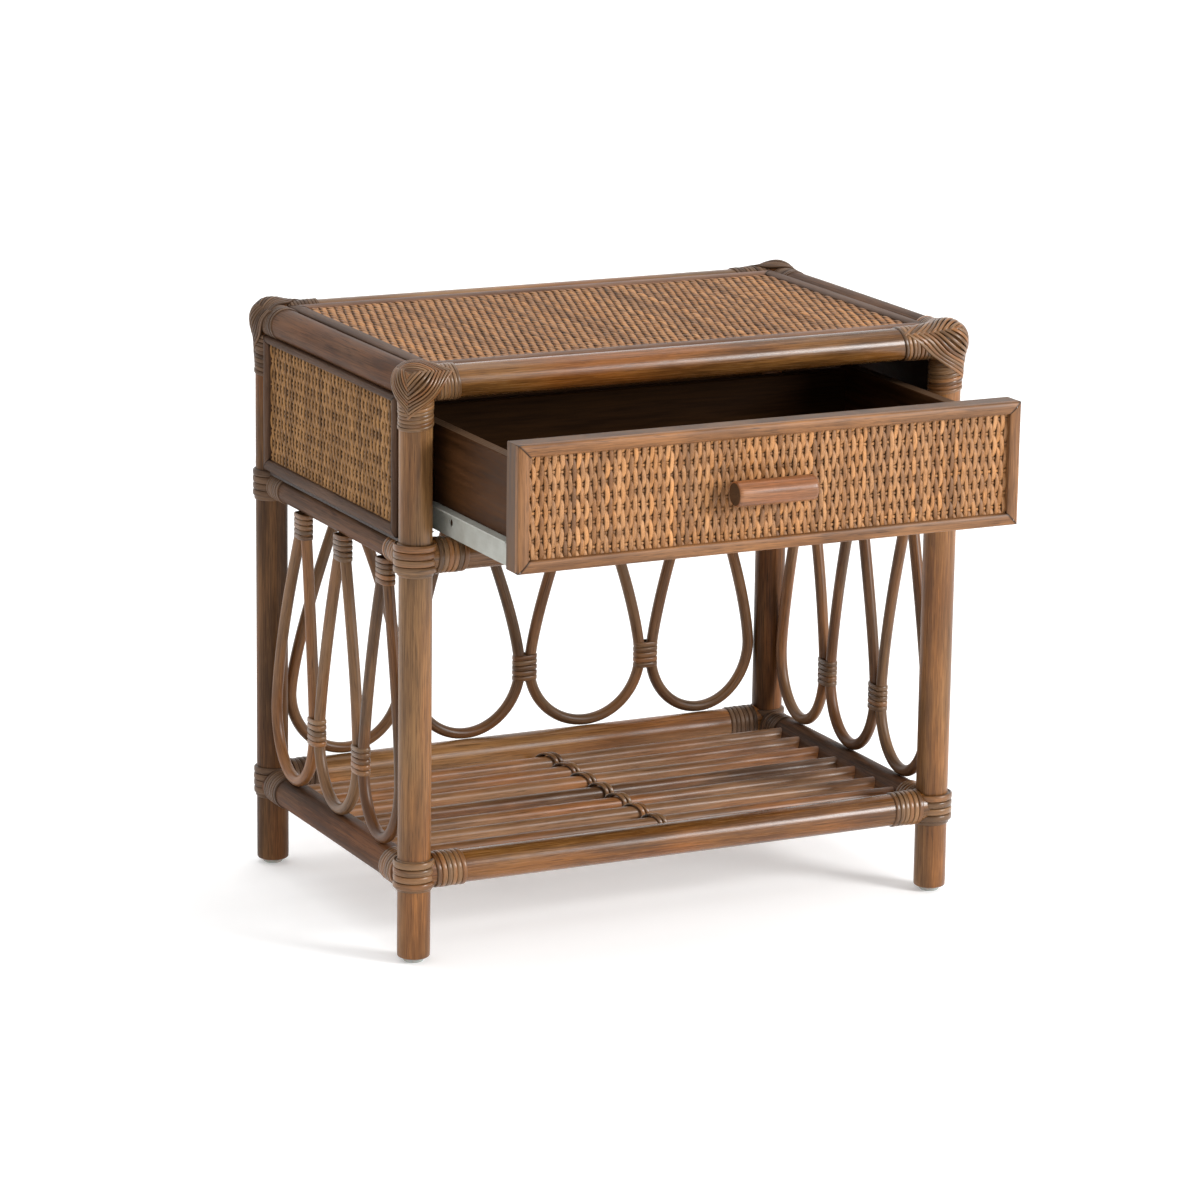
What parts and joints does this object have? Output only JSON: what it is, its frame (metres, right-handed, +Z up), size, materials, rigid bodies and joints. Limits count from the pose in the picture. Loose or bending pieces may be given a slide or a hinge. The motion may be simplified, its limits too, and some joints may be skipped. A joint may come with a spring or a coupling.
{
  "type": "nightstand",
  "caption": "Rattan bedside table with a woven top, a drawer on roller slides, teardrop cane loops at the sides and back, and a lower shelf of thin canes.",
  "frame": {"origin": "on the floor, under the middle of the whole piece as stored, with its drawer 149 mm out", "axes": "+Z up, the drawer opens towards -Y, +X to the right seen from the front"},
  "size_m": [0.5182, 0.497, 0.499],
  "materials": {
    "rattan_pole": "satin",
    "rattan_cane": "satin",
    "woven_webbing": "satin",
    "rattan_trim": "satin",
    "stained_plywood": "satin",
    "enamelled_steel": "gloss",
    "white_nylon": "matte",
    "glide_plastic": "satin"
  },
  "bodies": {
    "cabinet": {"back_panel": "stained_plywood", "bottom_rail_back": "rattan_pole", "bottom_rail_front": "rattan_pole", "bottom_rail_left": "rattan_pole", "bottom_rail_right": "rattan_pole", "cabinet_runner_left": "enamelled_steel", "cabinet_runner_right": "enamelled_steel", "foot_glide_back_left": "glide_plastic", "foot_glide_back_right": "glide_plastic", "foot_glide_front_left": "glide_plastic", "foot_glide_front_right": "glide_plastic", "leg_back_left": "rattan_pole", "leg_back_right": "rattan_pole", "leg_front_left": "rattan_pole", "leg_front_right": "rattan_pole", "loop_back_1": "rattan_cane", "loop_back_2": "rattan_cane", "loop_back_3": "rattan_cane", "loop_back_4": "rattan_cane", "loop_left_1": "rattan_cane", "loop_left_2": "rattan_cane", "loop_left_3": "rattan_cane", "loop_right_1": "rattan_cane", "loop_right_2": "rattan_cane", "loop_right_3": "rattan_cane", "mid_rail_back": "rattan_pole", "mid_rail_front": "rattan_pole", "mid_rail_left": "rattan_pole", "mid_rail_right": "rattan_pole", "shelf_cane_1": "rattan_cane", "shelf_cane_2": "rattan_cane", "shelf_cane_3": "rattan_cane", "shelf_cane_4": "rattan_cane", "shelf_cane_5": "rattan_cane", "shelf_cane_6": "rattan_cane", "shelf_cane_7": "rattan_cane", "shelf_support": "rattan_cane", "side_panel_left": "woven_webbing", "side_panel_right": "woven_webbing", "side_trim_left": "rattan_trim", "side_trim_right": "rattan_trim", "top_panel": "woven_webbing", "top_rail_back": "rattan_pole", "top_rail_front": "rattan_pole", "top_rail_left": "rattan_pole", "top_rail_right": "rattan_pole", "top_trim": "rattan_trim"},
    "drawer": {"drawer_back": "stained_plywood", "drawer_bottom": "stained_plywood", "drawer_front": "woven_webbing", "drawer_front_trim": "rattan_trim", "drawer_handle": "rattan_pole", "drawer_runner_left": "enamelled_steel", "drawer_runner_right": "enamelled_steel", "drawer_side_left": "stained_plywood", "drawer_side_right": "stained_plywood"},
    "cabinet_roller_left": {"cabinet_roller_left": "white_nylon"},
    "cabinet_roller_right": {"cabinet_roller_right": "white_nylon"},
    "drawer_roller_left": {"drawer_roller_left": "white_nylon"},
    "drawer_roller_right": {"drawer_roller_right": "white_nylon"}
  },
  "joints": [
    {"name": "drawer_slide", "type": "slide", "parent": "cabinet", "child": "drawer", "axis": [0, -1, 0], "range_m": [-0.149, 0.041]},
    {"name": "cabinet_roller_left_spin", "type": "hinge", "parent": "cabinet", "child": "cabinet_roller_left", "pos_m": [-0.22495, -0.042, 0.3724], "axis": [1, 0, 0], "range_deg": [-1005.4, 277.4]},
    {"name": "drawer_roller_left_spin", "type": "hinge", "parent": "drawer", "child": "drawer_roller_left", "pos_m": [-0.22495, 0.0362, 0.367], "axis": [1, 0, 0], "range_deg": [-1005.4, 277.4]},
    {"name": "cabinet_roller_right_spin", "type": "hinge", "parent": "cabinet", "child": "cabinet_roller_right", "pos_m": [0.22495, -0.042, 0.3724], "axis": [1, 0, 0], "range_deg": [-1005.4, 277.4]},
    {"name": "drawer_roller_right_spin", "type": "hinge", "parent": "drawer", "child": "drawer_roller_right", "pos_m": [0.22495, 0.0362, 0.367], "axis": [1, 0, 0], "range_deg": [-1005.4, 277.4]}
  ],
  "couplings": [
    {"joint": "cabinet_roller_left_spin", "follows": "drawer_slide", "rad_per_m": 117.65},
    {"joint": "drawer_roller_left_spin", "follows": "drawer_slide", "rad_per_m": 117.65},
    {"joint": "cabinet_roller_right_spin", "follows": "drawer_slide", "rad_per_m": 117.65},
    {"joint": "drawer_roller_right_spin", "follows": "drawer_slide", "rad_per_m": 117.65}
  ]
}
